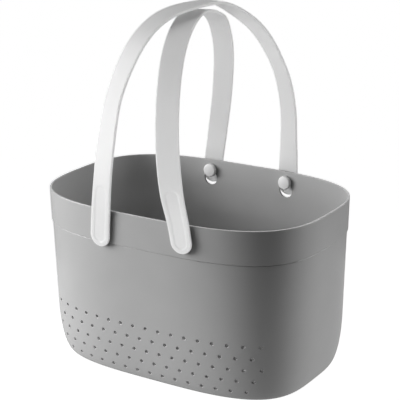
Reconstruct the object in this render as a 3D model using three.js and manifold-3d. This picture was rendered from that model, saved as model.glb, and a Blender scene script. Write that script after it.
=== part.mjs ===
// Shower basket: a moulded plastic tub with drain holes, and two flat strap handles that cross
// over it from corner to corner. Each strap hangs on two push-in studs, whose round heads lock
// behind keyholes in the tub's collar.
// Millimetres, +Z up, origin at the middle of the footprint, +X along the long side,
// -Y the front wall.
import * as THREE from "three";
import { mergeVertices } from "three/addons/utils/BufferGeometryUtils.js";
import Module from "manifold-3d";

const wasm = await Module();
wasm.setup();

// Tub: outline of the wall's outside at the rim and at the base, before the base is rounded
const tubHeight = 166.4;
const rimHalfLength = 140;
const rimHalfWidth = 96.1;
const baseHalfLength = 135.8;
const baseHalfWidth = 89;
const rimSquareness = 3.12; // exponent of the superellipse: 2 is an ellipse, more is squarer
const baseSquareness = 3.28;
const wall = 2.2;
const collarHeight = 32;
const collarProud = 1;
const collarEase = 0.8; // height of the sloped step under the collar

// Tub: rounded lower edge, foot ring and floor
const baseRoundHeight = 48;
const baseRoundInset = 10.4;
const footWidth = 5;
const footHeight = 2;
const floorThickness = 2.4;

// Drain holes through the long walls, in staggered rows that all run straight along Y
const drainRadius = 1.7;
const drainPitch = 13.97;
const drainRowSpacing = 11.58;
const drainTopRow = 56.3; // height of the top row's centres
const drainRowCounts = [17, 16, 17, 16, 15];
const drainSides = 6;

// Drain holes in the floor
const floorHoleRadius = 2.6;
const floorHolePitchX = 26;
const floorHolePitchY = 22;
const floorHoleMargin = 18; // least distance from a hole's centre to the foot ring
const floorHoleSides = 6;

// Keyholes in the collar: a narrow slot over a round hole that lets the stud's head through
const keyholeMiddle = 1.1; // the keyholes sit a little to the right of the middle
const keyholeX = 43.65; // from there to a keyhole
const backShift = -0.9; // the back keyholes against the front ones, along X
const keyholeDepth = 11; // from the rim down to the middle of the slot's round top
const keyholeDrop = 8.2; // from there down to the middle of the wide hole
const headClearance = 0.4;
const neckClearance = 0.4;

// Studs
const headRadius = 6.7;
const headThickness = 4.2;
const headEdge = 1.3; // rounding at the edge of the head
const headDome = 0.5; // rise of the face from its edge to its middle
const headPlay = 0.5; // gap between the head and the inside of the wall
const neckRadius = 4;
const spigotRadius = 2.5;
const spigotLength = 1;
const seatGap = 0.3; // gap where the stud's shoulder and spigot seat in the strap
const studSides = 20;

// Straps
const strapWidth = 21.2;
const strapThickness = 3;
const strapEdge = 0.8; // bevel on the strap's long edges
const strapStandoff = 1; // gap between the strap's back and the collar
const strapEnd = 13.4; // from the stud's centre to the strap's tip
const recessWidth = 14.2;
const recessDepth = 0.5;
const recessMargin = 3.5; // from the strap's tip to the recess
const recessLength = 57;
const legReach = 100.4; // greatest distance of the legs from the middle of the basket
const outerTop = 343.1; // height of the middle of the strap's thickness where the straps cross
const innerTop = 335.2;
const slackDrop = 2; // how far the inner strap's front stud hangs below the top of its slot

// Turn of each strap about Z, in half turns, at even distances from its front stud to its back one
const outerTurnShares = [0.017, 0.049, 0.085, 0.056, -0.011, 0.042, 0.103, 0.098, 0.017];
const innerTurnShares = [0.017, 0.096, 0.09, 0.113, 0.105, 0.058, 0.054, 0.036, 0.017];

// How each leg runs from its stud to the top, in shares: up of the height between them, out of
// legReach and across of keyholeX. The soft straps are no true arcs, and no two legs are alike.
const outerFrontShares = [
  { up: 0.197, out: 0.989, across: 0.909 },
  { up: 0.417, out: 0.94, across: 0.847 },
  { up: 0.653, out: 0.794, across: 0.796 },
  { up: 0.868, out: 0.607, across: 0.505 },
  { up: 0.963, out: 0.361, across: 0.27 },
];
const outerBackShares = [
  { up: 0.194, out: 1.005, across: 0.951 },
  { up: 0.407, out: 0.949, across: 0.99 },
  { up: 0.628, out: 0.775, across: 0.988 },
  { up: 0.851, out: 0.547, across: 0.691 },
  { up: 0.973, out: 0.324, across: 0.166 },
];
const innerFrontShares = [
  { up: 0.228, out: 1.02, across: 0.868 },
  { up: 0.458, out: 0.998, across: 0.748 },
  { up: 0.678, out: 0.876, across: 0.597 },
  { up: 0.848, out: 0.648, across: 0.384 },
  { up: 0.952, out: 0.351, across: 0.162 },
];
const innerBackShares = [
  { up: 0.223, out: 1.02, across: 0.954 },
  { up: 0.461, out: 0.992, across: 0.787 },
  { up: 0.7, out: 0.889, across: 0.603 },
  { up: 0.867, out: 0.674, across: 0.411 },
  { up: 0.959, out: 0.345, across: 0.136 },
];
const outerTopAcrossShare = -0.131; // where the straps cross, in the same share of keyholeX
const innerTopAcrossShare = -0.035;

const overrun = 3; // how far a cutter runs past the faces that it cuts
const outlinePoints = 64;
const roundSteps = 5;
const strapSteps = 56;
const tipSteps = 4;

const greyPlastic = { color: 0x8f9092, roughness: 0.55, metalness: 0 };
const whitePlastic = { color: 0xf2f2f0, roughness: 0.4, metalness: 0 };

const lerp = THREE.MathUtils.lerp;

// Joins a list of [x, y, z] points and a list of faces into one closed geometry
function geometryOf(points, faces) {
  const geometry = new THREE.BufferGeometry();
  geometry.setAttribute("position", new THREE.Float32BufferAttribute(points.flat(), 3));
  geometry.setIndex(faces.flat());
  return geometry;
}

// A closed body through rings with equal numbers of points, each end closed by a fan of triangles
function loft(rings) {
  const count = rings[0].length;
  const points = rings.flat();
  const faces = [];
  for (let ring = 0; ring + 1 < rings.length; ring++) {
    for (let i = 0; i < count; i++) {
      const a = ring * count + i;
      const b = ring * count + ((i + 1) % count);
      faces.push([a, b, b + count], [a, b + count, a + count]);
    }
  }
  const middle = (ring) => [0, 1, 2].map((axis) => ring.reduce((sum, p) => sum + p[axis], 0) / count);
  const first = points.push(middle(rings[0])) - 1;
  const last = points.push(middle(rings[rings.length - 1])) - 1;
  const lastRing = (rings.length - 1) * count;
  for (let i = 0; i < count; i++) {
    const next = (i + 1) % count;
    faces.push([first, next, i], [last, lastRing + i, lastRing + next]);
  }
  return geometryOf(points, faces);
}

function solidOf(geometry) {
  const bare = geometry.clone();
  bare.deleteAttribute("normal");
  bare.deleteAttribute("uv");
  const merged = mergeVertices(bare);
  const vertProperties = new Float32Array(merged.attributes.position.array);
  const triVerts = new Uint32Array(merged.index.array);
  return new wasm.Manifold(new wasm.Mesh({ numProp: 3, vertProperties, triVerts }));
}

function geometryFrom(solid) {
  const mesh = solid.getMesh();
  const geometry = new THREE.BufferGeometry();
  geometry.setAttribute("position", new THREE.Float32BufferAttribute(mesh.vertProperties, 3));
  geometry.setIndex([...mesh.triVerts]);
  const flat = geometry.toNonIndexed();
  flat.computeVertexNormals();
  return flat;
}

// Half length, half width and squareness of the wall's outside at a height
function tubLevel(z) {
  const share = z / tubHeight;
  return {
    a: lerp(baseHalfLength, rimHalfLength, share),
    b: lerp(baseHalfWidth, rimHalfWidth, share),
    n: lerp(baseSquareness, rimSquareness, share),
  };
}

// The outline at a height, moved in by a distance square to itself
function outline(z, inset) {
  const { a, b, n } = tubLevel(z);
  const ring = [];
  for (let i = 0; i < outlinePoints; i++) {
    const angle = (i / outlinePoints) * 2 * Math.PI;
    const cos = Math.cos(angle);
    const sin = Math.sin(angle);
    const x = Math.sign(cos) * Math.abs(cos) ** (2 / n);
    const y = Math.sign(sin) * Math.abs(sin) ** (2 / n);
    const normal = new THREE.Vector2(
      (Math.sign(x) * Math.abs(x) ** (n - 1)) / a,
      (Math.sign(y) * Math.abs(y) ** (n - 1)) / b,
    ).normalize();
    ring.push([x * a - normal.x * inset, y * b - normal.y * inset, z]);
  }
  return ring;
}

// How far the rounded lower edge draws the wall in at a height
function baseInset(z) {
  const share = 1 - Math.min(z, baseRoundHeight) / baseRoundHeight;
  return baseRoundInset * (1 - Math.sqrt(1 - share * share));
}

// Distance of the collar's outside from the middle of the basket, at a place along X
function collarFace(x, z) {
  const { a, b, n } = tubLevel(z);
  return b * (1 - Math.abs(x / a) ** n) ** (1 / n) + collarProud;
}

const floorTop = footHeight + floorThickness;
const collarBottom = tubHeight - collarHeight;

function tubShell() {
  const rings = [];
  const footOuter = baseRoundInset;
  const footInner = footOuter + footWidth;
  rings.push(outline(footHeight, footInner));
  rings.push(outline(0, footInner));
  const heights = [];
  for (let step = 0; step < roundSteps; step++) {
    heights.push(baseRoundHeight * (1 - Math.cos(((step / roundSteps) * Math.PI) / 2)));
  }
  heights.push(baseRoundHeight);
  for (const z of heights) rings.push(outline(z, baseInset(z)));
  rings.push(outline(collarBottom, 0));
  rings.push(outline(collarBottom + collarEase, -collarProud));
  rings.push(outline(tubHeight, -collarProud));
  rings.push(outline(tubHeight, wall - collarProud));
  rings.push(outline(collarBottom, wall - collarProud));
  rings.push(outline(collarBottom - collarEase, wall));
  for (const z of heights.reverse()) {
    if (z > floorTop + wall) rings.push(outline(z, baseInset(z) + wall));
  }
  rings.push(outline(floorTop, baseInset(floorTop) + wall));
  return solidOf(loft(rings));
}

// A prism of regular section along Y or Z, for a round hole
function roundCutter(radius, sides, length, alongY) {
  const geometry = new THREE.CylinderGeometry(radius, radius, length, sides);
  if (!alongY) geometry.rotateX(Math.PI / 2);
  return geometry;
}

function drainCutters() {
  const cutters = [];
  const length = 2 * (rimHalfWidth + overrun);
  drainRowCounts.forEach((count, row) => {
    for (let i = 0; i < count; i++) {
      const x = (i - (count - 1) / 2) * drainPitch;
      const cutter = roundCutter(drainRadius, drainSides, length, true);
      cutters.push(cutter.translate(x, 0, drainTopRow - row * drainRowSpacing));
    }
  });
  return cutters;
}

function floorCutters() {
  const cutters = [];
  const { a, b, n } = tubLevel(0);
  const inside = baseRoundInset + footWidth + floorHoleMargin;
  const rows = Math.floor((b - inside) / floorHolePitchY);
  const columns = Math.floor((a - inside) / floorHolePitchX);
  for (let row = -rows; row <= rows; row++) {
    const shift = row % 2 === 0 ? 0 : floorHolePitchX / 2;
    for (let column = -columns; column <= columns; column++) {
      const x = column * floorHolePitchX + shift;
      const y = row * floorHolePitchY;
      const reach = Math.abs(x / (a - inside)) ** n + Math.abs(y / (b - inside)) ** n;
      if (reach > 1) continue;
      const cutter = roundCutter(floorHoleRadius, floorHoleSides, floorTop + 2 * overrun, false);
      cutters.push(cutter.translate(x, y, floorTop / 2));
    }
  }
  return cutters;
}

const slotTop = tubHeight - keyholeDepth;
const slotRadius = neckRadius + neckClearance;
const wideRadius = headRadius + headClearance;
const footDrop = keyholeDrop + wideRadius - slotRadius; // a stud at the foot of its keyhole

// Distance along X, from the middle of the basket, at a share of the way to the left (-1) or
// right (1) keyholes
function acrossX(share) {
  return keyholeMiddle + share * keyholeX;
}

// Place of a keyhole and its stud along X; side is -1 at the front, end -1 at the left
function keyholePlace(side, end) {
  return acrossX(end) + (side > 0 ? backShift : 0);
}

// Keyhole outline, in X and Z about the middle of the slot's round top
function keyholeCutters() {
  const meet = Math.asin(slotRadius / wideRadius);
  const shape = new THREE.Shape();
  shape.absarc(0, 0, slotRadius, 0, Math.PI, false);
  shape.absarc(0, -keyholeDrop, wideRadius, Math.PI / 2 + meet, Math.PI / 2 - meet + 2 * Math.PI, false);
  const depth = 2 * (wall + overrun) + collarProud;
  const cutters = [];
  for (const side of [-1, 1]) {
    for (const end of [-1, 1]) {
      const cutter = new THREE.ExtrudeGeometry(shape, { depth, bevelEnabled: false, curveSegments: 10 });
      cutter.rotateX(Math.PI / 2);
      const x = keyholePlace(side, end);
      const middle = side * (collarFace(x, slotTop) - wall / 2);
      cutters.push(cutter.translate(x, middle + depth / 2, slotTop));
    }
  }
  return cutters;
}

function tubGeometry() {
  const cutters = [...drainCutters(), ...floorCutters(), ...keyholeCutters()];
  let tub = tubShell();
  for (const cutter of cutters) tub = tub.subtract(solidOf(cutter));
  return geometryFrom(tub);
}

// Lean of the wall at the studs, and its turn in plan
const wallLean = Math.atan2(rimHalfWidth - baseHalfWidth, tubHeight);
const wallTurn = Math.atan2(
  collarFace(keyholeX - slotRadius, slotTop) - collarFace(keyholeX + slotRadius, slotTop),
  2 * slotRadius,
);

// Where a stud crosses the outside of the collar
function studPlace(side, end, drop) {
  const z = slotTop - drop;
  const x = keyholePlace(side, end);
  return new THREE.Vector3(x, side * collarFace(x, z), z);
}

// Outward direction of the wall at a stud
function studOutward(side, end) {
  const level = Math.cos(wallLean);
  return new THREE.Vector3(
    end * Math.sin(wallTurn) * level,
    side * Math.cos(wallTurn) * level,
    -Math.sin(wallLean),
  );
}

// Half of a strap's centre line, from its tip to just short of the top, for one leg
function legLine(top, shares, side, end, drop) {
  const outward = studOutward(side, end);
  const middle = studPlace(side, end, drop).addScaledVector(outward, strapStandoff + strapThickness / 2);
  const points = shares.map(
    ({ up, out, across }) =>
      new THREE.Vector3(acrossX(end * across), side * legReach * out, lerp(middle.z, top, up)),
  );
  // the end of the strap lies flat along the wall and points at the first place above it
  const slope = points[0].clone().sub(middle);
  slope.addScaledVector(outward, -slope.dot(outward)).normalize();
  const ends = [-1, -1 / 2, 0, 1].map((share) => middle.clone().addScaledVector(slope, share * strapEnd));
  return [...ends, ...points];
}

// Whole centre line of a strap, from its front tip to its back tip; end is -1 where its front
// leg is on the left
function strapCurve({ top, topAcross, frontShares, backShares, end, frontDrop }) {
  const front = legLine(top, frontShares, -1, end, frontDrop);
  const back = legLine(top, backShares, 1, -end, 0);
  const middle = new THREE.Vector3(acrossX(end * topAcross), 0, top);
  return new THREE.CatmullRomCurve3([...front, middle, ...back.reverse()], false, "centripetal");
}

// Point, width direction and outward direction of a strap at a share of its length.
// Between its tips and its studs it lies flat along the wall, and from there it turns.
function strapFrame({ curve, turnShares, end }, share) {
  const point = curve.getPointAt(share);
  const along = curve.getTangentAt(share);
  const length = curve.getLength();
  const between = length - 2 * strapEnd;
  const fromStud = THREE.MathUtils.clamp(share * length - strapEnd, 0, between);
  const place = (fromStud / between) * (turnShares.length - 1);
  const index = Math.min(Math.floor(place), turnShares.length - 2);
  const blend = THREE.MathUtils.smoothstep(place - index, 0, 1);
  const turn = lerp(turnShares[index], turnShares[index + 1], blend) * Math.PI * end;
  const across = new THREE.Vector3(Math.cos(turn), Math.sin(turn), 0);
  across.addScaledVector(along, -across.dot(along)).normalize();
  const outward = new THREE.Vector3().crossVectors(across, along).normalize();
  return { point, across, outward };
}

// Body that follows a strap between two distances from its front tip, with rounded ends.
// Its half width is widest, and its section runs from low to high along the outward direction.
function strapBody(strap, from, to, widest, low, high, edge) {
  const length = strap.curve.getLength();
  const stations = [];
  for (let step = 1; step <= tipSteps; step++) {
    const angle = ((step / tipSteps) * Math.PI) / 2;
    stations.push({ at: widest * (1 - Math.cos(angle)), width: widest * Math.sin(angle) });
  }
  const body = to - from;
  const straight = body - 2 * widest;
  const steps = Math.max(2, Math.round((strapSteps * straight) / length));
  const rings = [];
  const along = [...stations];
  for (let step = 1; step < steps; step++) {
    along.push({ at: widest + (straight * step) / steps, width: widest });
  }
  for (const station of [...stations].reverse()) along.push({ at: body - station.at, width: station.width });
  for (const { at, width } of along) {
    const { point, across, outward } = strapFrame(strap, (from + at) / length);
    const bevel = Math.min(edge, width / 2);
    const section = [
      [-width, low + edge],
      [-width, high - edge],
      [-width + bevel, high],
      [width - bevel, high],
      [width, high - edge],
      [width, low + edge],
      [width - bevel, low],
      [-width + bevel, low],
    ];
    rings.push(
      section.map(([u, v]) => point.clone().addScaledVector(across, u).addScaledVector(outward, v).toArray()),
    );
  }
  return solidOf(loft(rings));
}

const headSeat = wall + headPlay; // from the collar's outside in to the head's flat back
const neckStart = strapStandoff - seatGap; // the neck's shoulder, out from the collar's outside

// Stud as a turned solid: its axis is +Y, outward, and its origin is on the collar's outside
function studGeometry() {
  const points = [new THREE.Vector2(0, -headSeat - headThickness - headDome)];
  const face = -headSeat - headThickness;
  const flat = headRadius - headEdge;
  points.push(new THREE.Vector2(flat * (2 / 3), face - headDome * (5 / 9)));
  for (let step = 0; step <= 3; step++) {
    const angle = ((step / 3) * Math.PI) / 2;
    points.push(new THREE.Vector2(flat + headEdge * Math.sin(angle), face + headEdge * (1 - Math.cos(angle))));
  }
  points.push(new THREE.Vector2(headRadius, -headSeat));
  points.push(new THREE.Vector2(neckRadius, -headSeat));
  points.push(new THREE.Vector2(neckRadius, neckStart));
  points.push(new THREE.Vector2(spigotRadius, neckStart));
  points.push(new THREE.Vector2(spigotRadius, strapStandoff + spigotLength));
  points.push(new THREE.Vector2(0, strapStandoff + spigotLength));
  return new THREE.LatheGeometry(points, studSides);
}

// The socket in a strap for a stud's spigot, in the stud's own frame
function socketGeometry() {
  const depth = spigotLength + seatGap;
  const geometry = new THREE.CylinderGeometry(
    spigotRadius + seatGap,
    spigotRadius + seatGap,
    depth + overrun,
    studSides,
  );
  return geometry.translate(0, strapStandoff + depth - (depth + overrun) / 2, 0);
}

function studMatrix(side, end, drop) {
  const outward = studOutward(side, end);
  const turn = new THREE.Quaternion().setFromUnitVectors(new THREE.Vector3(0, 1, 0), outward);
  return new THREE.Matrix4().compose(studPlace(side, end, drop), turn, new THREE.Vector3(1, 1, 1));
}

function strapGeometry(strap, studMatrices) {
  const length = strap.curve.getLength();
  const half = strapThickness / 2;
  let solid = strapBody(strap, 0, length, strapWidth / 2, -half, half, strapEdge);
  const recessEnds = [
    [recessMargin, recessMargin + recessLength],
    [length - recessMargin - recessLength, length - recessMargin],
  ];
  for (const [from, to] of recessEnds) {
    solid = solid.subtract(
      strapBody(strap, from, to, recessWidth / 2, half - recessDepth, half + overrun, recessDepth / 2),
    );
  }
  for (const matrix of studMatrices) {
    solid = solid.subtract(solidOf(socketGeometry().applyMatrix4(matrix)));
  }
  return geometryFrom(solid);
}

const straps = [
  {
    name: "outer_strap",
    end: -1,
    top: outerTop,
    topAcross: outerTopAcrossShare,
    frontShares: outerFrontShares,
    backShares: outerBackShares,
    turnShares: outerTurnShares,
    frontDrop: footDrop, // this stud has slipped down to the foot of its keyhole
    frontStud: "stud_front_left",
    backStud: "stud_back_right",
  },
  {
    name: "inner_strap",
    end: 1,
    top: innerTop,
    topAcross: innerTopAcrossShare,
    frontShares: innerFrontShares,
    backShares: innerBackShares,
    turnShares: innerTurnShares,
    frontDrop: slackDrop,
    frontStud: "stud_front_right",
    backStud: "stud_back_left",
  },
];

function meshOf(name, geometry, look) {
  const mesh = new THREE.Mesh(geometry, new THREE.MeshStandardMaterial(look));
  mesh.name = name;
  return mesh;
}

const group = new THREE.Group();
group.add(meshOf("tub", tubGeometry(), greyPlastic));
for (const strap of straps) {
  strap.curve = strapCurve(strap);
  const frontMatrix = studMatrix(-1, strap.end, strap.frontDrop);
  const backMatrix = studMatrix(1, -strap.end, 0);
  group.add(meshOf(strap.name, strapGeometry(strap, [frontMatrix, backMatrix]), whitePlastic));
  const frontStud = meshOf(strap.frontStud, studGeometry(), whitePlastic);
  frontStud.applyMatrix4(frontMatrix);
  const backStud = meshOf(strap.backStud, studGeometry(), whitePlastic);
  backStud.applyMatrix4(backMatrix);
  group.add(frontStud, backStud);
}

export default group;
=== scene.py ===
import math

import bpy
import numpy as np
from mathutils import Matrix
from mathutils.geometry import delaunay_2d_cdt


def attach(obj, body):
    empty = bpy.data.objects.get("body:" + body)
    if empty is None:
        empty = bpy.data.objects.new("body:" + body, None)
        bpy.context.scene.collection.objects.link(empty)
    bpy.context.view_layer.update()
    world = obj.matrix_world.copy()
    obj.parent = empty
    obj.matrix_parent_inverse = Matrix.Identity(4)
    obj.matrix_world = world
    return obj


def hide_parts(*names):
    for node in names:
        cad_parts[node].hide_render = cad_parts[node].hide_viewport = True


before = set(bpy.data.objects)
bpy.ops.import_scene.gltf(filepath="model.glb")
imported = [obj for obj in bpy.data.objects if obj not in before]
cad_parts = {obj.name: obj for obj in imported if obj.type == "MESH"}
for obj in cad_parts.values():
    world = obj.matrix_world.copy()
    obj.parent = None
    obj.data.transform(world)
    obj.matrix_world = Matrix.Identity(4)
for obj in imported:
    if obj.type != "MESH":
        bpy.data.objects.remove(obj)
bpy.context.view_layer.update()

# Looks of the shower basket. Shapes are worked out in millimetres, like the CAD part's, and
# become metres where their meshes are made.
MM = 0.001

# Tub, as in the CAD part
TUB_HEIGHT = 166.4
RIM_HALF_LENGTH = 140
RIM_HALF_WIDTH = 96.1
BASE_HALF_LENGTH = 135.8
BASE_HALF_WIDTH = 89
RIM_SQUARENESS = 3.12
BASE_SQUARENESS = 3.28
WALL = 2.2
COLLAR_HEIGHT = 32
COLLAR_PROUD = 1
COLLAR_STEP = [  # heights above its lower edge and shares of the way out to its face, with a fine groove
    (-1.2, 0), (-0.55, 0), (-0.5, -0.03), (-0.42, -0.22), (-0.3, -0.28),
    (-0.12, -0.28), (0.02, -0.2), (0.08, 0), (0.14, 0.5), (0.18, 0.62),
    (0.27, 0.78), (0.4, 0.9), (0.56, 0.97), (0.75, 1), (1.4, 1),
]
INNER_STEP_TOP = 2  # the inside's step is a long easy one, from above to below the collar's edge
INNER_STEP_LOW = -22
BASE_ROUND_HEIGHT = 48
BASE_ROUND_INSET = 10.4
FOOT_WIDTH = 5
FOOT_HEIGHT = 2
FLOOR_THICKNESS = 2.4
FLOOR_TOP = FOOT_HEIGHT + FLOOR_THICKNESS
COLLAR_BOTTOM = TUB_HEIGHT - COLLAR_HEIGHT
FILLET_HEIGHT = 1.5  # the small fillet between wall and floor
FILLET_REACH = 1.8 * FILLET_HEIGHT
FILLET_PULL = 0.4 * FILLET_HEIGHT

# Drain holes, placed as in the CAD part. The wall's are drawn a little narrower than there, because
# their rounded lips widen them.
DRAIN_RADIUS = 1.45
DRAIN_PITCH = 13.97
DRAIN_ROW_SPACING = 11.58
DRAIN_TOP_ROW = 56.3
DRAIN_ROW_COUNTS = [17, 16, 17, 16, 15]
FLOOR_HOLE_RADIUS = 2.6
FLOOR_HOLE_PITCH_X = 26
FLOOR_HOLE_PITCH_Y = 22
FLOOR_HOLE_MARGIN = 18
FLOOR_HOLE_SIDES = 24

# Keyholes and studs, as in the CAD part
KEYHOLE_MIDDLE = 1.1  # place in X halfway between the two front keyholes
KEYHOLE_X = 43.65  # from there to either of them
BACK_SHIFT = -0.9  # the back ones lie a little further left
SLOT_TOP = TUB_HEIGHT - 11
KEYHOLE_DROP = 8.2
HEAD_RADIUS = 6.7
HEAD_THICKNESS = 4.2
HEAD_EDGE = 1.3
HEAD_DOME = 0.5
HEAD_PLAY = 0.5
NECK_RADIUS = 4
SLOT_RADIUS = NECK_RADIUS + 0.4
WIDE_RADIUS = HEAD_RADIUS + 0.4
KEYHOLE_HUB = 2.5  # height above the wide hole's centre that the edge is measured from
FOOT_DROP = KEYHOLE_DROP + WIDE_RADIUS - SLOT_RADIUS

# Straps, as in the CAD part
STRAP_WIDTH = 21.2
STRAP_THICKNESS = 3
STRAP_STANDOFF = 1
STRAP_END = 13.4
RECESS_WIDTH = 14.2
RECESS_DEPTH = 0.5
RECESS_MARGIN = 3.5
RECESS_LENGTH = 57
LEG_REACH = 100.4  # the courses' shares of the way out to the wall are of this
SLACK_DROP = 2  # how far the front right stud hangs below its slot's top

# Rounding of the edges, and the numbers of steps in it
RIM_ROUND = 0.55
RIM_ROUND_STEPS = 6
FOOT_ROUND = 0.5
FOOT_ROUND_STEPS = 4
HEAD_EDGE_STEPS = 8
STUD_EASE = 0.5
STUD_EASE_STEPS = 5
DRAIN_LIP = 0.6
KEYHOLE_LIP = 0.5
FLOOR_HOLE_LIP = 0.4
LIP_SHARES = [(1.5, 0), (1, 0), (0.45, 0.1), (0.12, 0.4), (0, 1)]  # out from a hole's edge and deep into it
STRAP_ROUND = 0.95
STRAP_ROUND_STEPS = 6
STRAP_SKIN = 0.08  # the straps' faces lie this far inside the CAD part's
RECESS_SLOPE = 1.8  # width of the ramp down into a recess, at its sides and at its upper end
RECESS_TOP_SLOPE = 3.6

# Fineness of the tub's and studs' meshes
CELL = 8  # columns and rows over the pitch of the drain holes
END_STEPS = 26  # columns from the middle of an end to its long side's grid
OUTLINE_SAMPLES = 4000
OFFSET_ROUNDS = 20  # rounds that find the place on the wall that an inset place belongs to
BASE_ROWS = 9
PLAIN_ROWS = 10
INNER_STEP_ROWS = 12
FILLET_SHARES = (0.2, 0.4, 0.6, 0.8, 1)
KEYHOLE_BLOCK_TOP = 4  # ends, below the rim, of the rows that the keyholes are cut from
KEYHOLE_BLOCK_LOW = 29.4
KEYHOLE_BLOCK_ROWS = 15
KEYHOLE_BLOCK_HALF = 7  # columns to either side of a keyhole's middle
STUD_SIDES = 72

# Fineness of the straps' meshes
CURVE_STEPS = 150  # points between two measured places of a centre line
TIP_STEPS = 33
NEAR_STATIONS = 24
MIDDLE_STATIONS = 200
FINE_STEP = 0.35  # stations round a recess's upper end, and how far they go on past it
FINE_MARGIN = 0.6
RAMP_INSETS = np.arange(2.4, 6.8, 0.25)  # rings on the side ramps of a recess
RECESS_FLOOR_GAP = 0.4  # from the last of them to the first of the rings on its floor
RECESS_FLOOR_RINGS = 9
UNDER_INSETS = (2.5, 6)  # rings on a strap's flat back

# Moulded plastics: grey levels of the mottling, roughness range, scale and bump strength of the grain,
# scale of the mottling, and cloudiness, the share of light that passes in and comes out elsewhere
PLASTICS = {
    "grey_plastic": ((0.37, 0.4), (0.3, 0.36), (2600, 0.12), 40, 0),
    "white_plastic": ((0.79, 0.82), (0.38, 0.46), (1800, 0.05), 30, 0.7),
    # the studs are the straps' own white plastic; their lower grey levels are painted shade from inside the
    # basket
    "stud_plastic": ((0.74, 0.78), (0.36, 0.44), (1800, 0.05), 60, 0),
}
PLASTIC_IOR = 1.49
GLOSS_PATCHES = 60  # scale of the uneven gloss
CLOUD_DEPTH = 0.002  # in metres, as the grain's depth is
GRAIN_DEPTH = 0.0002

# The photograph's camera, in the basket's frame: place in millimetres, directions in degrees, roll in
# radians, focal length in pixels of the picture, and reach in metres
CAMERA_PLACE = np.array([645.8, -1007.7, 534.3])
CAMERA_AZIMUTH = 32.55
CAMERA_ELEVATION = 17.563
CAMERA_ROLL = -0.0091
CAMERA_FOCUS = 1322.5
CAMERA_REACH = 50
IMAGE_WIDTH = 400
SENSOR_WIDTH = 36

# Floor, with its measures in metres, and the depth of the bounce light just above it
FLOOR_HALF = 6
FLOOR_DEPTH = 0.0003
FLOOR_GREY = 0.9
FLOOR_GLOW = 1
FLOOR_ROUGHNESS = 0.8
BOUNCE_DEPTH = 0.0001

# Soft studio lights: name, azimuth from the front towards the right, elevation, width, height and power.
# The white straps are lit apart from the grey tub and the studs, so that neither is too bright or dark.
LIGHT_AIM = np.array([0, 0, 0.15])
LIGHT_DISTANCE = 1.5
GREY_LIGHTS = [
    ("left_low", -60, 8, 0.6, 0.8, 24),
    ("left_front_low", -40, 8, 0.6, 0.8, 8.5),
    ("left_high", -51, 38, 0.9, 0.8, 5.8),
    ("right_low", 128, 8, 0.9, 0.8, 13),
    ("right_high", 124, 38, 0.8, 0.8, 7.1),
    ("back_low", 214, 8, 1.1, 0.8, 2.5),
    ("back_high", 211, 38, 1.1, 0.8, 5.8),
    ("top", 0, 89, 0.5, 0.5, 5),
]
GREY_BOUNCE = (0.7, 0.68)  # width and power of the light that the floor gives back
WHITE_LIGHTS = [
    ("white_left", -75, 8, 0.7, 0.8, 6.6),
    ("white_left_front", -45, 8, 0.7, 0.8, 10.6),
    ("white_left_high", -60, 40, 0.7, 0.8, 2.7),
    ("white_right_front", 45, 8, 0.7, 0.8, 7.6),
    ("white_right", 105, 8, 0.7, 0.8, 4),
    ("white_back_high", 180, 40, 0.8, 0.8, 8),
    ("white_top", 0, 89, 0.6, 0.6, 3.6),
]
WHITE_BOUNCE = (3, 19.2)

# The straps' courses. end is the side of a strap's front end, and turns are the directions of its width
# along it, as shares of half a turn. A leg's places are shares of the way up, out to the wall and across.
STRAPS = {
    "outer": {
        "end": -1,
        "top": 343.1,
        "top_across": -0.131,
        "front_drop": FOOT_DROP,
        "turns": [0.017, 0.049, 0.085, 0.056, -0.011, 0.042, 0.103, 0.098, 0.017],
        "front": [(0.197, 0.989, 0.909), (0.417, 0.94, 0.847), (0.653, 0.794, 0.796),
                  (0.868, 0.607, 0.505), (0.963, 0.361, 0.27)],
        "back": [(0.194, 1.005, 0.951), (0.407, 0.949, 0.99), (0.628, 0.775, 0.988),
                 (0.851, 0.547, 0.691), (0.973, 0.324, 0.166)],
    },
    "inner": {
        "end": 1,
        "top": 335.2,
        "top_across": -0.035,
        "front_drop": SLACK_DROP,
        "turns": [0.017, 0.096, 0.09, 0.113, 0.105, 0.058, 0.054, 0.036, 0.017],
        "front": [(0.228, 1.02, 0.868), (0.458, 0.998, 0.748), (0.678, 0.876, 0.597),
                  (0.848, 0.648, 0.384), (0.952, 0.351, 0.162)],
        "back": [(0.223, 1.02, 0.954), (0.461, 0.992, 0.787), (0.7, 0.889, 0.603),
                 (0.867, 0.674, 0.411), (0.959, 0.345, 0.136)],
    },
}

END_NAMES = {-1: "left", 1: "right"}


def lerp(a, b, share):
    return a + (b - a) * share


def add_mesh(name, points, faces, material):
    """A smooth-shaded mesh object from points in millimetres. Points that no face uses are left out."""
    corners = np.unique(np.concatenate([np.asarray(face) for face in faces]))
    renumber = np.zeros(len(points), int)
    renumber[corners] = np.arange(len(corners))
    places = (np.asarray(points)[corners] * MM).tolist()
    mesh = bpy.data.meshes.new(name)
    mesh.from_pydata(places, [], [renumber[list(face)].tolist() for face in faces])
    mesh.validate()
    mesh.polygons.foreach_set("use_smooth", np.ones(len(mesh.polygons), bool))
    mesh.update()
    obj = bpy.data.objects.new(name, mesh)
    bpy.context.scene.collection.objects.link(obj)
    mesh.materials.append(material)
    return obj


class MeshBuilder:
    """Points and faces of one mesh, with rings of points that are joined to each other."""

    def __init__(self):
        self.points = []
        self.faces = []

    def add(self, points):
        """Adds points and returns their numbers."""
        start = len(self.points)
        self.points.extend(np.asarray(points, float).tolist())
        return list(range(start, len(self.points)))

    def join(self, first, second):
        """Quads between two closed rings with equal numbers of points."""
        for i, a in enumerate(first):
            after = (i + 1) % len(first)
            self.faces.append((a, first[after], second[after], second[i]))


# Tub

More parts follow.
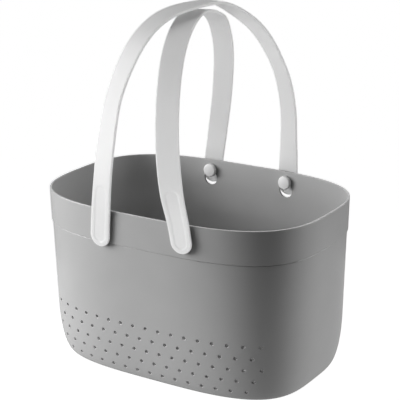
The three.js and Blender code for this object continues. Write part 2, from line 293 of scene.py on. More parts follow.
def level(z):
    """Half length, half width and squareness of the wall's outside at a height."""
    share = z / TUB_HEIGHT
    return (
        lerp(BASE_HALF_LENGTH, RIM_HALF_LENGTH, share),
        lerp(BASE_HALF_WIDTH, RIM_HALF_WIDTH, share),
        lerp(BASE_SQUARENESS, RIM_SQUARENESS, share),
    )


def base_inset(z):
    """How far the rounded lower edge draws the wall in at a height."""
    share = 1 - np.minimum(z, BASE_ROUND_HEIGHT) / BASE_ROUND_HEIGHT
    return BASE_ROUND_INSET * (1 - np.sqrt(1 - share**2))


LONG_HALF = DRAIN_ROW_COUNTS[0] * DRAIN_PITCH / 2
COLUMN_STEP = DRAIN_PITCH / CELL
LONG_STEPS = round(LONG_HALF / COLUMN_STEP)
QUARTER = END_STEPS + LONG_STEPS


def tub_ring(z, inset):
    """One ring of the tub's grid. Along the long sides its columns stand at fixed places along X."""
    a, b, n = level(z)
    angle = np.linspace(0, math.pi / 2, OUTLINE_SAMPLES)
    x, y = np.cos(angle) ** (2 / n), np.sin(angle) ** (2 / n)
    nx, ny = x ** (n - 1) / a, y ** (n - 1) / b
    size = np.hypot(nx, ny)
    x, y = x * a - nx / size * inset, y * b - ny / size * inset
    long_x = np.linspace(LONG_HALF, 0, LONG_STEPS + 1)
    long_y = np.interp(long_x, x[::-1], y[::-1])
    end_x = np.append(x[x > LONG_HALF], LONG_HALF)
    end_y = np.append(y[x > LONG_HALF], long_y[0])
    along = np.append(0, np.cumsum(np.hypot(np.diff(end_x), np.diff(end_y))))
    places = np.linspace(0, along[-1], END_STEPS + 1)[:-1]
    qx = np.append(np.interp(places, along, end_x), long_x)
    qy = np.append(np.interp(places, along, end_y), long_y)
    ring_x = np.concatenate([qx, -qx[-2::-1], -qx[1:], qx[-2:0:-1]])
    ring_y = np.concatenate([qy, qy[-2::-1], -qy[1:], -qy[-2:0:-1]])
    return np.stack([ring_x, ring_y, np.full(len(ring_x), z)], 1)


def wall_y(x, z, inset):
    """Distance of the wall's outside, moved in by inset, from the middle plane, at places in X and Z."""
    a, b, n = level(z)
    base = x
    for _ in range(OFFSET_ROUNDS):
        share = np.abs(base / a)
        y = b * (1 - share**n) ** (1 / n)
        nx, ny = share ** (n - 1) / a, (y / b) ** (n - 1) / b
        size = np.hypot(nx, ny)
        base = x + np.sign(x) * nx / size * inset
    return y - ny / size * inset


def arc(low, high, count):
    """Angles from low to high quarter turns."""
    return np.linspace(low, high, count) * math.pi / 2


def under_profile():
    """Heights and insets from the floor's underside over the foot ring."""
    inner = BASE_ROUND_INSET + FOOT_WIDTH
    rows = [(FOOT_HEIGHT, inner + 2 * FOOT_ROUND)]
    for t in arc(0, 1, FOOT_ROUND_STEPS):
        rows.append((FOOT_HEIGHT - FOOT_ROUND * (1 - math.cos(t)), inner + FOOT_ROUND * (1 - math.sin(t))))
    for t in arc(0, 1, FOOT_ROUND_STEPS):
        rows.append((FOOT_ROUND * (1 - math.sin(t)), inner - FOOT_ROUND * (1 - math.cos(t))))
    rows.append((0, inner - 2 * FOOT_ROUND))
    rows.append((0, BASE_ROUND_INSET + FOOT_ROUND))
    return rows


ROW_LEVELS = DRAIN_TOP_ROW + DRAIN_ROW_SPACING / 2 - DRAIN_ROW_SPACING / CELL * np.arange(
    CELL * len(DRAIN_ROW_COUNTS), -1, -1
)
PLAIN_LEVELS = np.linspace(ROW_LEVELS[-1], COLLAR_BOTTOM + INNER_STEP_LOW, PLAIN_ROWS)[1:-1]
KEYHOLE_LEVELS = np.linspace(
    TUB_HEIGHT - KEYHOLE_BLOCK_LOW, TUB_HEIGHT - KEYHOLE_BLOCK_TOP, KEYHOLE_BLOCK_ROWS
)
INNER_LOWEST = FLOOR_TOP + FILLET_HEIGHT


def outside_profile():
    """Heights and insets from the foot ring up the wall's outside to the rim."""
    steepest = math.acos(1 - ROW_LEVELS[0] / BASE_ROUND_HEIGHT)
    rows = []
    for t in np.linspace(0, steepest, BASE_ROWS)[:-1]:
        rows.append((BASE_ROUND_HEIGHT * (1 - math.cos(t)), BASE_ROUND_INSET * (1 - math.sin(t))))
    rows += [(z, base_inset(z)) for z in ROW_LEVELS]
    rows += [(z, 0) for z in PLAIN_LEVELS]
    rows += [(COLLAR_BOTTOM + up, -COLLAR_PROUD * out) for up, out in COLLAR_STEP]
    rows += [(z, -COLLAR_PROUD) for z in KEYHOLE_LEVELS]
    rows.append((TUB_HEIGHT - 2 * RIM_ROUND, -COLLAR_PROUD))
    for t in arc(0, 1, RIM_ROUND_STEPS):
        drawn_in = RIM_ROUND * (1 - math.cos(t))
        rows.append((TUB_HEIGHT - RIM_ROUND * (1 - math.sin(t)), -COLLAR_PROUD + drawn_in))
    return rows


def inside_profile():
    """Heights and insets from the rim down the wall's inside to the floor."""
    inset = WALL - COLLAR_PROUD
    rows = []
    for t in arc(1, 0, RIM_ROUND_STEPS):
        rows.append((TUB_HEIGHT - RIM_ROUND * (1 - math.sin(t)), inset - RIM_ROUND * (1 - math.cos(t))))
    rows.append((TUB_HEIGHT - 2 * RIM_ROUND, inset))
    rows += [(z, inset) for z in KEYHOLE_LEVELS[::-1]]
    for share in np.linspace(0, 1, INNER_STEP_ROWS):
        z = COLLAR_BOTTOM + lerp(INNER_STEP_TOP, INNER_STEP_LOW, share)
        rows.append((z, inset + COLLAR_PROUD * share**2 * (3 - 2 * share)))
    rows += [(z, WALL) for z in PLAIN_LEVELS[::-1]]
    lowest_row = np.linspace(ROW_LEVELS[CELL], INNER_LOWEST, CELL + 1)[1:]
    rows += [(z, base_inset(z) + WALL) for z in [*ROW_LEVELS[:CELL - 1:-1], *lowest_row]]
    start = base_inset(INNER_LOWEST) + WALL
    for t in FILLET_SHARES:
        reach = 2 * t * (1 - t) * FILLET_PULL + t * t * FILLET_REACH
        rows.append((FLOOR_TOP + FILLET_HEIGHT * (1 - t) ** 2, start + reach))
    rows.append((FLOOR_TOP, start + FILLET_REACH + FOOT_ROUND))
    return rows


def column_at(x, side):
    """Number of the grid's column at a place along a long side; side is -1 at the front."""
    if side > 0:
        return END_STEPS + round((LONG_HALF - x) / COLUMN_STEP)
    return 2 * QUARTER + END_STEPS + round((x + LONG_HALF) / COLUMN_STEP)


def border(columns, rows):
    """Places in the grid round a block of cells, as (row, column)."""
    c0, c1 = columns
    r0, r1 = rows
    loop = [(r0, c) for c in range(c0, c1)]
    loop += [(r, c1) for r in range(r0, r1)]
    loop += [(r1, c) for c in range(c1, c0, -1)]
    loop += [(r, c0) for r in range(r1, r0, -1)]
    return loop


def cut_through(tub, holes, side, x, z, columns, outer_rows, inner_rows, angles, reach, lip):
    """Opens a hole through both faces of a long wall, with rounded lips.

    reach gives the hole's radius at an angle, and columns and rows the block of cells it takes."""
    wide, tall = columns[1] - columns[0], outer_rows[1] - outer_rows[0]
    count = 2 * (wide + tall)
    steps = [(lip * out, lip * deep) for out, deep in LIP_SHARES]

    def ring(out, depth, outside):
        radius = reach(angles) + out
        px = x - side * radius * np.cos(angles)  # columns run towards +X at the front and -X at the back
        pz = z + radius * np.sin(angles)
        collar = COLLAR_PROUD * (z > COLLAR_BOTTOM)
        inset = base_inset(pz) - collar + (0 if outside else WALL)
        y = wall_y(px, pz, inset) + (-depth if outside else depth)
        return tub.add(np.stack([px, side * y, pz], 1))

    outer = [ring(out, depth, True) for out, depth in steps]
    inner = [ring(out, depth, False) for out, depth in steps]
    number = holes["number"]
    loop = [number[r, c] for r, c in border(columns, outer_rows)]
    for first, second in zip([loop, *outer[:-1]], outer):
        tub.join(first, second)
    tub.join(outer[-1], inner[-1])
    back = [(2 * wide + tall - k) % count for k in range(count)]
    loop = [number[r, c] for r, c in border(columns, inner_rows)]
    rings = [[numbers[k] for k in back] for numbers in inner]
    for first, second in zip([loop, *rings[:-1]], rings):
        tub.join(first, second)
    for rows in (outer_rows, inner_rows):
        holes["open"][rows[0]:rows[1], columns[0]:columns[1]] = True


def cell_angles():
    """Angles of the points round a drain hole's block of cells, seen from outside."""
    half_wide, half_tall = DRAIN_PITCH / 2, DRAIN_ROW_SPACING / 2
    loop = border((0, CELL), (0, CELL))
    u = np.array([c / CELL * 2 - 1 for _, c in loop]) * half_wide
    v = np.array([r / CELL * 2 - 1 for r, _ in loop]) * half_tall
    return np.arctan2(v, u)


def drain_reach(angles):
    return np.full(len(angles), float(DRAIN_RADIUS))


def keyhole_reach(angles):
    """Distance from the keyhole's hub to its edge: a wide hole with a narrow slot above it."""
    dx, dz = np.cos(angles), np.sin(angles)
    wide = -KEYHOLE_HUB * dz + np.sqrt((KEYHOLE_HUB * dz) ** 2 - KEYHOLE_HUB**2 + WIDE_RADIUS**2)
    to_top = KEYHOLE_DROP - KEYHOLE_HUB
    with np.errstate(divide="ignore"):
        strip = np.minimum(SLOT_RADIUS / np.abs(dx), 1e3)
    cap = to_top * dz + np.sqrt(np.maximum((to_top * dz) ** 2 - to_top**2 + SLOT_RADIUS**2, 0))
    slot = np.where(strip * dz > to_top, cap, strip)
    return np.where(dz > 0, np.maximum(wide, slot), wide)


def cut_drains(tub, holes, first_row, inner_of):
    """The staggered rows of drain holes in both long walls."""
    angles = cell_angles()
    for row, count in enumerate(DRAIN_ROW_COUNTS):
        z = DRAIN_TOP_ROW - row * DRAIN_ROW_SPACING
        low = first_row + CELL * (len(DRAIN_ROW_COUNTS) - 1 - row)
        outer_rows = (low, low + CELL)
        inner_rows = (inner_of(low + CELL), inner_of(low))
        for i in range(count):
            x = (i - (count - 1) / 2) * DRAIN_PITCH
            for side in (-1, 1):
                column = column_at(x, side)
                columns = (column - CELL // 2, column + CELL // 2)
                cut_through(tub, holes, side, x, z, columns, outer_rows, inner_rows, angles,
                            drain_reach, DRAIN_LIP)


def cut_keyholes(tub, holes, grid, outer_first, inner_first):
    """The four keyholes in the collar, two in each long wall."""
    hub_z = SLOT_TOP - KEYHOLE_DROP + KEYHOLE_HUB
    tall = len(KEYHOLE_LEVELS) - 1
    for side in (-1, 1):
        for end in (-1, 1):
            x = keyhole_place(side, end)
            column = column_at(x, side)
            columns = (column - KEYHOLE_BLOCK_HALF, column + KEYHOLE_BLOCK_HALF)
            outer_rows = (outer_first, outer_first + tall)
            inner_rows = (inner_first, inner_first + tall)
            loop = np.array([grid[r, c] for r, c in border(columns, outer_rows)])
            angles = np.arctan2(loop[:, 2] - hub_z, -side * (loop[:, 0] - x))
            cut_through(tub, holes, side, x, hub_z, columns, outer_rows, inner_rows, angles,
                        keyhole_reach, KEYHOLE_LIP)


def floor_hole_places():
    """Middles of the drain holes in the floor, in staggered rows."""
    a, b, n = level(0)
    inside = BASE_ROUND_INSET + FOOT_WIDTH + FLOOR_HOLE_MARGIN
    rows = int((b - inside) / FLOOR_HOLE_PITCH_Y)
    columns = int((a - inside) / FLOOR_HOLE_PITCH_X)
    places = []
    for row in range(-rows, rows + 1):
        for column in range(-columns, columns + 1):
            x = (column + row % 2 / 2) * FLOOR_HOLE_PITCH_X
            y = row * FLOOR_HOLE_PITCH_Y
            if abs(x / (a - inside)) ** n + abs(y / (b - inside)) ** n <= 1:
                places.append((x, y))
    return places


def plate_with_holes(tub, outline, rings, places, up):
    """Flat face between an outline and the holes' rings, as triangles."""
    numbers = [*outline]
    loops = [list(range(len(outline)))]
    for ring in rings:
        loops.append(list(range(len(numbers), len(numbers) + len(ring))))
        numbers += ring
    flat = [tub.points[k][:2] for k in numbers]
    edges = [(a, b) for loop in loops for a, b in zip(loop, loop[1:] + loop[:1])]
    corners, _, faces, origins, _, _ = delaunay_2d_cdt(flat, edges, [], 1, 1e-6)
    source = [numbers[origin[0]] for origin in origins]
    centres = np.array(places)
    widest = FLOOR_HOLE_RADIUS + LIP_SHARES[0][0] * FLOOR_HOLE_LIP
    hole_edge = widest * math.cos(math.pi / FLOOR_HOLE_SIDES)
    for face in faces:
        a, b, c = [np.array(corners[k]) for k in face]
        middle = np.mean([corners[k] for k in face], axis=0)
        if np.min(np.hypot(*(centres - middle).T)) < hole_edge:
            continue
        turn = np.cross(b - a, c - a)
        face = [source[k] for k in face]
        tub.faces.append(tuple(face if (turn > 0) == up else face[::-1]))


def build_floor(tub, under_loop, top_loop):
    """The floor's two faces with its drain holes between them."""
    places = floor_hole_places()
    turn = np.linspace(0, 2 * math.pi, FLOOR_HOLE_SIDES, endpoint=False)
    steps = [(FLOOR_HOLE_LIP * out, FLOOR_HOLE_LIP * deep) for out, deep in LIP_SHARES]

    def ring(x, y, out, z):
        radius = FLOOR_HOLE_RADIUS + out
        return tub.add(np.stack([x + radius * np.cos(turn), y + radius * np.sin(turn), 0 * turn + z], 1))

    tops, unders = [], []
    for x, y in places:
        top = [ring(x, y, out, FLOOR_TOP - depth) for out, depth in steps]
        under = [ring(x, y, out, FOOT_HEIGHT + depth) for out, depth in steps]
        rings = [*top, *under[::-1]]
        for first, second in zip(rings, rings[1:]):
            tub.join(first, second)
        tops.append(top[0])
        unders.append(under[0])
    plate_with_holes(tub, top_loop, tops, places, True)
    plate_with_holes(tub, under_loop, unders, places, False)


def build_tub(material):
    """The whole moulding: a grid over its outside and inside, with the holes cut from it and the floor."""
    under, outside, inside = under_profile(), outside_profile(), inside_profile()
    rows = [*under, *outside, *inside]
    grid = np.array([tub_ring(z, inset) for z, inset in rows])
    tub = MeshBuilder()
    number = np.array(tub.add(grid.reshape(-1, 3))).reshape(grid.shape[:2])
    holes = {"number": number, "open": np.zeros(grid.shape[:2], bool)}
    heights = np.array([z for z, _ in rows])
    start_inside = len(under) + len(outside)

    def outer_row(z):
        return len(under) + int(np.argmin(np.abs(heights[len(under):start_inside] - z)))

    def inner_row(z):
        return start_inside + int(np.argmin(np.abs(heights[start_inside:] - z)))

    first_row = outer_row(ROW_LEVELS[0])
    row_top = inner_row(ROW_LEVELS[-1])
    last = first_row + CELL * len(DRAIN_ROW_COUNTS)
    cut_drains(tub, holes, first_row, lambda outer: row_top + last - outer)
    cut_keyholes(tub, holes, grid, outer_row(KEYHOLE_LEVELS[0]), inner_row(KEYHOLE_LEVELS[-1]))
    count = grid.shape[1]
    for r in range(len(rows) - 1):
        for c in range(count):
            if not holes["open"][r, c]:
                after = (c + 1) % count
                tub.faces.append((number[r, c], number[r, after], number[r + 1, after], number[r + 1, c]))
    build_floor(tub, list(number[0]), list(number[-1]))
    faces = [tuple(int(k) for k in face) for face in tub.faces]
    return add_mesh("tub_moulding", tub.points, faces, material)


# Studs and straps

def across_x(share):
    """Place in X from a share of the way from the keyholes' middle to the right ones."""
    return KEYHOLE_MIDDLE + share * KEYHOLE_X


def collar_face(x, z):
    """Distance of the collar's face from the middle plane."""
    a, b, n = level(z)
    return b * (1 - abs(x / a) ** n) ** (1 / n) + COLLAR_PROUD


WALL_LEAN = math.atan2(RIM_HALF_WIDTH - BASE_HALF_WIDTH, TUB_HEIGHT)
WALL_TURN = math.atan2(
    collar_face(KEYHOLE_X - SLOT_RADIUS, SLOT_TOP) - collar_face(KEYHOLE_X + SLOT_RADIUS, SLOT_TOP),
    2 * SLOT_RADIUS,
)


def keyhole_place(side, end):
    return across_x(end) + (BACK_SHIFT if side > 0 else 0)


def stud_place(side, end, drop):
    """Where a stud's axis meets the collar's face; drop is how far it hangs below its slot's top."""
    z = SLOT_TOP - drop
    x = keyhole_place(side, end)
    return np.array([x, side * collar_face(x, z), z])


def stud_outward(side, end):
    """Direction of a stud's axis, square to the collar's face."""
    flat = math.cos(WALL_LEAN)
    return np.array([
        end * math.sin(WALL_TURN) * flat,
        side * math.cos(WALL_TURN) * flat,
        -math.sin(WALL_LEAN),
    ])


def stud_profile():
    """Radius and place along the stud's axis, from its face to the strap's back."""
    back = -(WALL + HEAD_PLAY)
    face = back - HEAD_THICKNESS
    flat = HEAD_RADIUS - HEAD_EDGE
    rows = [(flat * share, face - HEAD_DOME * (1 - share**2)) for share in (0.15, 0.35, 0.55, 0.75, 0.9)]
    for t in arc(0, 1, HEAD_EDGE_STEPS):
        rows.append((flat + HEAD_EDGE * math.sin(t), face + HEAD_EDGE * (1 - math.cos(t))))
    turns = [
        (STUD_EASE * (1 - math.cos(t)), STUD_EASE * (1 - math.sin(t)))
        for t in arc(0, 1, STUD_EASE_STEPS)
    ]
    rows += [(HEAD_RADIUS - across, back - along) for across, along in turns]
    rows += [(NECK_RADIUS + along, back + across) for across, along in turns]
    rows += [(NECK_RADIUS + across, STRAP_STANDOFF - along) for across, along in turns]
    return face - HEAD_DOME, rows


def build_stud(name, side, end, drop, material):
    """A turned stud: its round head lies behind the wall, and its neck reaches to the strap's back."""
    outward = stud_outward(side, end)
    sideways = np.cross(outward, (0, 0, 1))
    sideways /= np.linalg.norm(sideways)
    upward = np.cross(sideways, outward)
    place = stud_place(side, end, drop)
    turn = np.linspace(0, 2 * math.pi, STUD_SIDES, endpoint=False)[:, None]
    spoke = sideways * np.cos(turn) + upward * np.sin(turn)
    tip, rows = stud_profile()
    stud = MeshBuilder()
    pole = stud.add([place + outward * tip])[0]
    rings = [stud.add(place + outward * along + spoke * radius) for radius, along in rows]
    for k, a in enumerate(rings[0]):
        stud.faces.append((a, rings[0][(k + 1) % len(rings[0])], pole))
    for first, second in zip(rings, rings[1:]):
        stud.join(second, first)
    stud.faces.append(tuple(rings[-1][::-1]))
    return add_mesh(name, stud.points, stud.faces, material)


def leg_line(strap, shares, side, end, drop):
    """Half of a strap's centre line, from its tip to just short of the top."""
    outward = stud_outward(side, end)
    middle = stud_place(side, end, drop) + outward * (STRAP_STANDOFF + STRAP_THICKNESS / 2)
    points = np.array([
        (across_x(end * across), side * LEG_REACH * out, lerp(middle[2], strap["top"], up))
        for up, out, across in shares
    ])
    slope = points[0] - middle
    slope -= outward * slope.dot(outward)
    slope /= np.linalg.norm(slope)
    ends = [middle + slope * share * STRAP_END for share in (-1, -0.5, 0, 1)]
    return np.vstack([ends, points])


def centripetal(points, steps):
    """Dense points along the centripetal Catmull-Rom curve through points."""
    before = 2 * points[0] - points[1]
    after = 2 * points[-1] - points[-2]
    p = np.vstack([before, points, after])
    gap = np.maximum(np.linalg.norm(np.diff(p, axis=0), axis=1) ** 0.5, 1e-4)
    made = []
    for i in range(1, len(p) - 2):
        g0, g1, g2 = gap[i - 1:i + 2]
        t1 = ((p[i] - p[i - 1]) / g0 - (p[i + 1] - p[i - 1]) / (g0 + g1) + (p[i + 1] - p[i]) / g1) * g1
        t2 = ((p[i + 1] - p[i]) / g1 - (p[i + 2] - p[i]) / (g1 + g2) + (p[i + 2] - p[i + 1]) / g2) * g1
        t = np.linspace(0, 1, steps, endpoint=False)[:, None]
        bend = 3 * (p[i + 1] - p[i]) - 2 * t1 - t2
        rise = 2 * (p[i] - p[i + 1]) + t1 + t2
        made.append(p[i] + t1 * t + bend * t**2 + rise * t**3)
    made.append(points[-1:])
    return np.vstack(made)


def strap_line(strap):
    """Dense centre line of a strap with its tangents and the distance along it."""
    end = strap["end"]
    front = leg_line(strap, strap["front"], -1, end, strap["front_drop"])
    back = leg_line(strap, strap["back"], 1, -end, 0)
    top = np.array([[across_x(end * strap["top_across"]), 0, strap["top"]]])
    line = centripetal(np.vstack([front, top, back[::-1]]), CURVE_STEPS)
    tangent = np.gradient(line, axis=0)
    tangent /= np.linalg.norm(tangent, axis=1, keepdims=True)
    along = np.append(0, np.cumsum(np.linalg.norm(np.diff(line, axis=0), axis=1)))
    return line, tangent, along


def strap_frame(strap, line, s):
    """Points, width directions and outward directions of a strap at distances from its front tip."""
    dense, tangents, along = line
    length = along[-1]
    point = np.stack([np.interp(s, along, dense[:, k]) for k in range(3)], 1)
    tangent = np.stack([np.interp(s, along, tangents[:, k]) for k in range(3)], 1)
    tangent /= np.linalg.norm(tangent, axis=1, keepdims=True)
    between = length - 2 * STRAP_END
    shares = np.array(strap["turns"])
    place = np.clip(s - STRAP_END, 0, between) / between * (len(shares) - 1)
    index = np.minimum(place.astype(int), len(shares) - 2)
    mix = place - index
    mix = mix * mix * (3 - 2 * mix)
    turn = lerp(shares[index], shares[index + 1], mix) * math.pi * strap["end"]
    across = np.stack([np.cos(turn), np.sin(turn), 0 * turn], 1)
    across -= np.sum(across * tangent, axis=1, keepdims=True) * tangent
    across /= np.linalg.norm(across, axis=1, keepdims=True)
    return point, across, np.cross(across, tangent)


def recess_depth(s, u, length):
    """Depth of the shallow round-ended recesses near the strap's two ends."""
    radius = RECESS_WIDTH / 2
    from_end = np.minimum(s, length - s)
    first, last = RECESS_MARGIN + radius, RECESS_MARGIN + RECESS_LENGTH - radius
    beyond = np.maximum(0, np.maximum(first - from_end, from_end - last))
    upward = np.clip((from_end - last) / radius, 0, 1)
    inside = (radius - np.hypot(beyond, u)) / lerp(RECESS_SLOPE, RECESS_TOP_SLOPE, upward)
    inside = np.clip(inside, 0, 1)
    return RECESS_DEPTH * inside**2 * (3 - 2 * inside)


def strap_stations(length):
    """Distances along a strap's straight part, closer together where its recesses end."""
    half_width = STRAP_WIDTH / 2
    last = RECESS_MARGIN + RECESS_LENGTH
    fine = np.arange(last - RECESS_WIDTH / 2 - FINE_MARGIN, last + FINE_MARGIN, FINE_STEP)
    near = np.linspace(half_width, fine[0], NEAR_STATIONS, endpoint=False)
    middle = np.linspace(fine[-1], length - fine[-1], MIDDLE_STATIONS)
    return np.concatenate([near, fine[:-1], middle, length - fine[-2::-1], length - near[::-1]])


def build_strap(name, strap, material):
    """A flat strap with rounded edges and round ends, made of rings from its edge inwards."""
    line = strap_line(strap)
    length = line[2][-1]
    half_width, half_thick = STRAP_WIDTH / 2, STRAP_THICKNESS / 2 - STRAP_SKIN
    stations = strap_stations(length)
    tip = np.linspace(-math.pi / 2, math.pi / 2, TIP_STEPS)[1:-1]

    def loop(inset):
        """Places of one ring: down one side, round the far tip, back, and round the near tip."""
        h = half_width - inset
        s = np.concatenate([stations, length - half_width + h * np.cos(tip), stations[::-1],
                            half_width - h * np.cos(tip)])
        u = np.concatenate([0 * stations - h, h * np.sin(tip), 0 * stations + h, -h * np.sin(tip)])
        return s, u

    body = MeshBuilder()

    def ring(inset, height, recessed):
        s, u = loop(inset)
        point, across, outward = strap_frame(strap, line, s)
        heights = height - recess_depth(s, u, length) * recessed
        return body.add(point + across * u[:, None] + outward * heights[:, None])

    edge = [
        (STRAP_ROUND * (1 - math.cos(t)), half_thick - STRAP_ROUND * (1 - math.sin(t)))
        for t in arc(0, 1, STRAP_ROUND_STEPS)
    ]
    floor_first = RAMP_INSETS[-1] + RECESS_FLOOR_GAP
    floor = np.linspace(floor_first, half_width, RECESS_FLOOR_RINGS, endpoint=False)
    top = edge + [(inset, half_thick) for inset in (*RAMP_INSETS, *floor)]
    rings = [ring(inset, height, True) for inset, height in top]
    for first, second in zip(rings, rings[1:]):
        body.join(first, second)
    close_middle(body, strap, line, rings[-1], stations, half_width, half_thick, True)
    under = [(inset, -height) for inset, height in edge] + [(inset, -half_thick) for inset in UNDER_INSETS]
    low = [ring(inset, height, False) for inset, height in under]
    body.join(low[0], rings[0])
    for first, second in zip(low, low[1:]):
        body.join(second, first)
    close_middle(body, strap, line, low[-1], stations, half_width, -half_thick, False)
    return add_mesh(name, body.points, [face[::-1] for face in body.faces], material)


def close_middle(body, strap, line, ring, stations, half_width, height, recessed):
    """Closes one face of a strap between its innermost ring and its middle line."""
    length = line[2][-1]
    point, _, outward = strap_frame(strap, line, stations)
    heights = height - recess_depth(stations, 0 * stations, length) * recessed
    middle = body.add(point + outward * heights[:, None])
    count = len(stations)
    tips = (len(ring) - 2 * count) // 2
    faces = []
    left = ring[:count]
    far = ring[count:count + tips]
    right = ring[count + tips:2 * count + tips]
    near = ring[2 * count + tips:]
    for k in range(count - 1):
        faces.append((left[k], left[k + 1], middle[k + 1], middle[k]))
        faces.append((right[k], right[k + 1], middle[count - 2 - k], middle[count - 1 - k]))
    far_fan, near_fan = [left[-1], *far, right[0]], [right[-1], *near, left[0]]
    for fan, hub in ((far_fan, middle[-1]), (near_fan, middle[0])):
        for a, b in zip(fan, fan[1:]):
            faces.append((a, b, hub))
    body.faces += faces if recessed else [face[::-1] for face in faces]


# Materials

def moulded_plastic(name):
    """Procedural moulded plastic: faint mottling in the colour, uneven gloss and a fine grain."""
    (dark, light), roughness, (grain, strength), mottle, cloudiness = PLASTICS[name]
    material = bpy.data.materials.new(name)
    material.use_nodes = True
    nodes, links = material.node_tree.nodes, material.node_tree.links
    shader = nodes["Principled BSDF"]
    shader.inputs["IOR"].default_value = PLASTIC_IOR
    shader.inputs["Subsurface Weight"].default_value = cloudiness
    shader.inputs["Subsurface Radius"].default_value = (1, 1, 1)
    shader.inputs["Subsurface Scale"].default_value = CLOUD_DEPTH
    place = nodes.new("ShaderNodeTexCoord")

    def noise(scale, detail):
        node = nodes.new("ShaderNodeTexNoise")
        node.inputs["Scale"].default_value = scale
        node.inputs["Detail"].default_value = detail
        links.new(place.outputs["Object"], node.inputs["Vector"])
        return node

    def ramp(source, low, high):
        node = nodes.new("ShaderNodeMapRange")
        node.inputs["To Min"].default_value = low
        node.inputs["To Max"].default_value = high
        links.new(source.outputs["Fac"], node.inputs["Value"])
        return node

    colour = nodes.new("ShaderNodeMix")
    colour.data_type = "RGBA"
    colour.inputs[6].default_value = (dark, dark, dark, 1)
    colour.inputs[7].default_value = (light, light, light, 1)
    links.new(ramp(noise(mottle, 4), 0, 1).outputs["Result"], colour.inputs["Factor"])
    links.new(colour.outputs[2], shader.inputs["Base Color"])
    links.new(ramp(noise(GLOSS_PATCHES, 3), *roughness).outputs["Result"], shader.inputs["Roughness"])
    bump = nodes.new("ShaderNodeBump")
    bump.inputs["Strength"].default_value = strength
    bump.inputs["Distance"].default_value = GRAIN_DEPTH
    links.new(noise(grain, 5).outputs["Fac"], bump.inputs["Height"])
    links.new(bump.outputs["Normal"], shader.inputs["Normal"])
    return material


def floor_white():
    """A material that is lit evenly by its own glow."""
    material = bpy.data.materials.new("floor_white")
    material.use_nodes = True
    shader = material.node_tree.nodes["Principled BSDF"]
    shader.inputs["Base Color"].default_value = (FLOOR_GREY, FLOOR_GREY, FLOOR_GREY, 1)
    shader.inputs["Roughness"].default_value = FLOOR_ROUGHNESS
    shader.inputs["Emission Color"].default_value = (1, 1, 1, 1)
    shader.inputs["Emission Strength"].default_value = FLOOR_GLOW
    return material


# Camera, floor and light

def towards(azimuth, elevation):
    """Direction from the basket; azimuths run from the front towards the right."""
    a, e = math.radians(azimuth), math.radians(elevation)
    return np.array([math.sin(a) * math.cos(e), -math.cos(a) * math.cos(e), math.sin(e)])


def world_matrix(right, up, back, place):
    """Matrix of a camera or lamp that looks the way opposite to back."""
    matrix = np.eye(4)
    matrix[:3, :3] = np.stack([right, up, back], 1)
    matrix[:3, 3] = place
    return Matrix(matrix.tolist())


def add_camera():
    """The photograph's camera."""
    azimuth = math.radians(CAMERA_AZIMUTH)
    right = np.array([math.cos(azimuth), math.sin(azimuth), 0])
    back = towards(CAMERA_AZIMUTH, CAMERA_ELEVATION)
    up = np.cross(back, right)
    turned_right = right * math.cos(CAMERA_ROLL) + up * math.sin(CAMERA_ROLL)
    turned_up = up * math.cos(CAMERA_ROLL) - right * math.sin(CAMERA_ROLL)
    data = bpy.data.cameras.new("camera")
    data.sensor_width = SENSOR_WIDTH
    data.lens = SENSOR_WIDTH * CAMERA_FOCUS / IMAGE_WIDTH
    data.clip_end = CAMERA_REACH
    camera = bpy.data.objects.new("camera", data)
    camera.matrix_world = world_matrix(turned_right, turned_up, back, CAMERA_PLACE * MM)
    bpy.context.scene.collection.objects.link(camera)
    bpy.context.scene.camera = camera


def add_area_light(name, place, aim, size, power):
    """A rectangular lamp at a place, turned to its aim, that the camera doesn't see."""
    data = bpy.data.lights.new(name, "AREA")
    data.shape = "RECTANGLE"
    data.size, data.size_y = size
    data.energy = power
    light = bpy.data.objects.new(name, data)
    bpy.context.scene.collection.objects.link(light)
    direction = (np.array(aim) - np.array(place)).astype(float)
    back = -direction / np.linalg.norm(direction)
    right = np.cross((0, 1, 0) if abs(back[2]) > 0.99 else (0, 0, 1), back)
    right /= np.linalg.norm(right)
    light.matrix_world = world_matrix(right, np.cross(back, right), back, place)
    light.visible_camera = False
    return light


def build_floor_plane():
    """A floor that stays white in the picture. The lights' bounce stands in for what it gives back."""
    half = FLOOR_HALF
    mesh = bpy.data.meshes.new("floor")
    corners = [(-half, -half, 0), (half, -half, 0), (half, half, 0), (-half, half, 0)]
    mesh.from_pydata(corners, [], [(0, 1, 2, 3)])
    floor = bpy.data.objects.new("floor", mesh)
    mesh.materials.append(floor_white())
    floor.location.z = -FLOOR_DEPTH
    floor.visible_diffuse = floor.visible_glossy = False
    bpy.context.scene.collection.objects.link(floor)


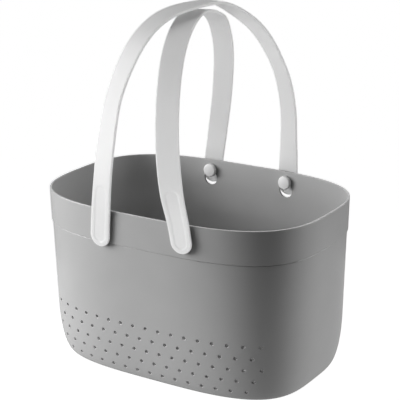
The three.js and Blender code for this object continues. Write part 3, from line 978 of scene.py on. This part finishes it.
def build_lights(group, pieces, lights, bounce):
    """One set of soft lights, and the floor's bounce, that reach only the given pieces."""
    receivers = bpy.data.collections.new(f"{group}_pieces")
    for piece in pieces:
        receivers.objects.link(piece)
    made = []
    for name, azimuth, elevation, width, height, power in lights:
        place = LIGHT_AIM + towards(azimuth, elevation) * LIGHT_DISTANCE
        made.append(add_area_light(name, place, LIGHT_AIM, (width, height), power))
    width, power = bounce
    made.append(add_area_light(f"{group}_bounce", (0, 0, -BOUNCE_DEPTH), (0, 0, 1), (width, width), power))
    for light in made:
        light.light_linking.receiver_collection = receivers


def build_white_surroundings():
    """A white background that lights nothing, shown as plain white."""
    world = bpy.data.worlds.new("studio")
    bpy.context.scene.world = world
    world.use_nodes = True
    world.node_tree.nodes["Background"].inputs["Color"].default_value = (1, 1, 1, 1)
    world.cycles_visibility.diffuse = world.cycles_visibility.glossy = False
    bpy.context.scene.view_settings.view_transform = "Standard"


# The basket

def dress(obj, body, node):
    """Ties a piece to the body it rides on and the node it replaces."""
    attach(obj, body)
    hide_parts(node)
    return obj


def build_handle(key, strap, strap_white, stud_white_shaded):
    """A strap and its two studs. It crosses the basket, so its back end is on the other side."""
    body, end = f"{key}_handle", strap["end"]
    band = dress(build_strap(f"{key}_strap_band", strap, strap_white), body, f"{key}_strap")
    studs = []
    for side, where, stud_end, drop in (
        (-1, "front", end, strap["front_drop"]),
        (1, "back", -end, 0),
    ):
        node = f"stud_{where}_{END_NAMES[stud_end]}"
        stud = build_stud(f"{node}_turned", side, stud_end, drop, stud_white_shaded)
        studs.append(dress(stud, body, node))
    return band, studs


def build_basket():
    """All pieces. Returns those that the grey set of lights is for, and those that the white set is for."""
    # the studs get a darker copy of the straps' white, with painted shade in its colour
    grey, white, stud_white_shaded = [moulded_plastic(name) for name in PLASTICS]
    grey_lit, white_lit = [dress(build_tub(grey), "basket", "tub")], []
    for key, strap in STRAPS.items():
        band, studs = build_handle(key, strap, white, stud_white_shaded)
        white_lit.append(band)
        grey_lit += studs
    return grey_lit, white_lit


add_camera()
build_floor_plane()
build_white_surroundings()
grey_lit, white_lit = build_basket()
build_lights("grey", grey_lit, GREY_LIGHTS, GREY_BOUNCE)
build_lights("white", white_lit, WHITE_LIGHTS, WHITE_BOUNCE)
